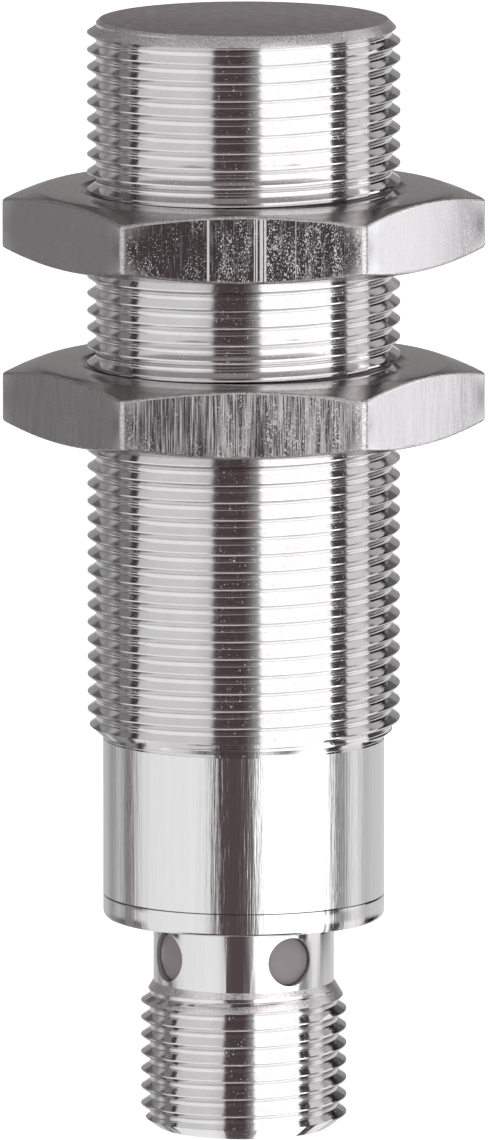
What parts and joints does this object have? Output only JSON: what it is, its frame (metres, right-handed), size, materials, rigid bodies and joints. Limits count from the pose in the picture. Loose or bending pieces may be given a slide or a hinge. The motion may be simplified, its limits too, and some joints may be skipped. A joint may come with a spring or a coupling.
{
  "type": "inductive proximity sensor",
  "caption": "Cylindrical all-metal inductive proximity sensor with a threaded barrel, hexagonal lock nuts, light windows in the neck and a male round connector.",
  "frame": {"origin": "centre of the sensing face", "axes": "+Z out of the sensing face along the barrel's axis, the connector at -Z; the lock nuts' flats face +Y and -Y; the view of the picture looks along +Y"},
  "size_m": [0.0278, 0.024, 0.064],
  "materials": {
    "stainless_steel": "polished",
    "nut_steel": "satin",
    "frosted_window": "satin",
    "black_plastic": "matte",
    "gold_plating": "gloss",
    "seal_rubber": "matte",
    "ferrite": "matte",
    "white_plastic": "satin",
    "enamelled_copper": "gloss",
    "screen_brass": "satin",
    "board_laminate": "satin",
    "insulating_film": "satin",
    "chip_resin": "matte",
    "capacitor_ceramic": "satin",
    "potting_resin": "satin",
    "led_lens": "gloss",
    "wire_brown": "satin",
    "wire_white": "satin",
    "wire_blue": "satin",
    "wire_black": "satin"
  },
  "bodies": {
    "sensor_body": {"housing_barrel": "stainless_steel", "connector_shell": "stainless_steel", "light_guide": "frosted_window", "contact_carrier": "black_plastic", "contact_pin_1": "gold_plating", "contact_pin_2": "gold_plating", "contact_pin_3": "gold_plating", "contact_pin_4": "gold_plating", "carrier_o_ring": "seal_rubber", "housing_o_ring": "seal_rubber", "ferrite_core": "ferrite", "coil_bobbin": "white_plastic", "coil_winding": "enamelled_copper", "screening_ring": "screen_brass", "core_holder": "white_plastic", "coil_lead_1": "enamelled_copper", "coil_lead_2": "enamelled_copper", "circuit_board": "board_laminate", "board_sleeve": "insulating_film", "sensor_ic": "chip_resin", "voltage_regulator": "chip_resin", "polarity_diode": "chip_resin", "output_transistor": "chip_resin", "capacitor_1": "capacitor_ceramic", "capacitor_2": "capacitor_ceramic", "capacitor_3": "capacitor_ceramic", "resistor_1": "chip_resin", "resistor_2": "chip_resin", "resistor_3": "chip_resin", "potting_plug": "potting_resin", "led_board": "board_laminate", "led_1": "led_lens", "led_2": "led_lens", "led_3": "led_lens", "led_4": "led_lens", "pin_wire_1": "wire_brown", "pin_wire_2": "wire_white", "pin_wire_3": "wire_blue", "pin_wire_4": "wire_black"},
    "front_nut": {"front_lock_nut": "nut_steel"},
    "rear_nut": {"rear_lock_nut": "nut_steel"}
  },
  "joints": [
    {"name": "front_nut_travel", "type": "slide", "parent": "sensor_body", "child": "front_nut", "axis": [0, 0, 1], "range_m": [-0.002, 0.008]},
    {"name": "rear_nut_travel", "type": "slide", "parent": "sensor_body", "child": "rear_nut", "axis": [0, 0, 1], "range_m": [-0.016, 0.003]}
  ]
}
